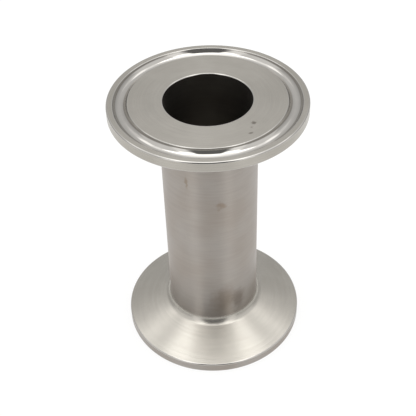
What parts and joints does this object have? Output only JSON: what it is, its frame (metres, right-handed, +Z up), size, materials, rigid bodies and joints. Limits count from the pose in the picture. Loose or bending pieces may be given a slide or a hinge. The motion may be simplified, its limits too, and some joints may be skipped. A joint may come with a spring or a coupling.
{
  "type": "sanitary spool pipe",
  "caption": "Short straight stainless tube with a grooved clamp flange welded to each end, to join or space two sanitary pipe fittings.",
  "frame": {"origin": "centre of the bore in the lower sealing face, which the spool stands on", "axes": "+Z up along the bore, from the lower ferrule to the upper one"},
  "size_m": [0.0506, 0.0506, 0.0762],
  "materials": {
    "turned_stainless": "fine turned, lightly polished",
    "satin_stainless": "satin, belt-polished round the tube"
  },
  "bodies": {
    "root": {"lower_ferrule": "turned_stainless", "tube": "satin_stainless", "upper_ferrule": "turned_stainless"}
  },
  "joints": []
}
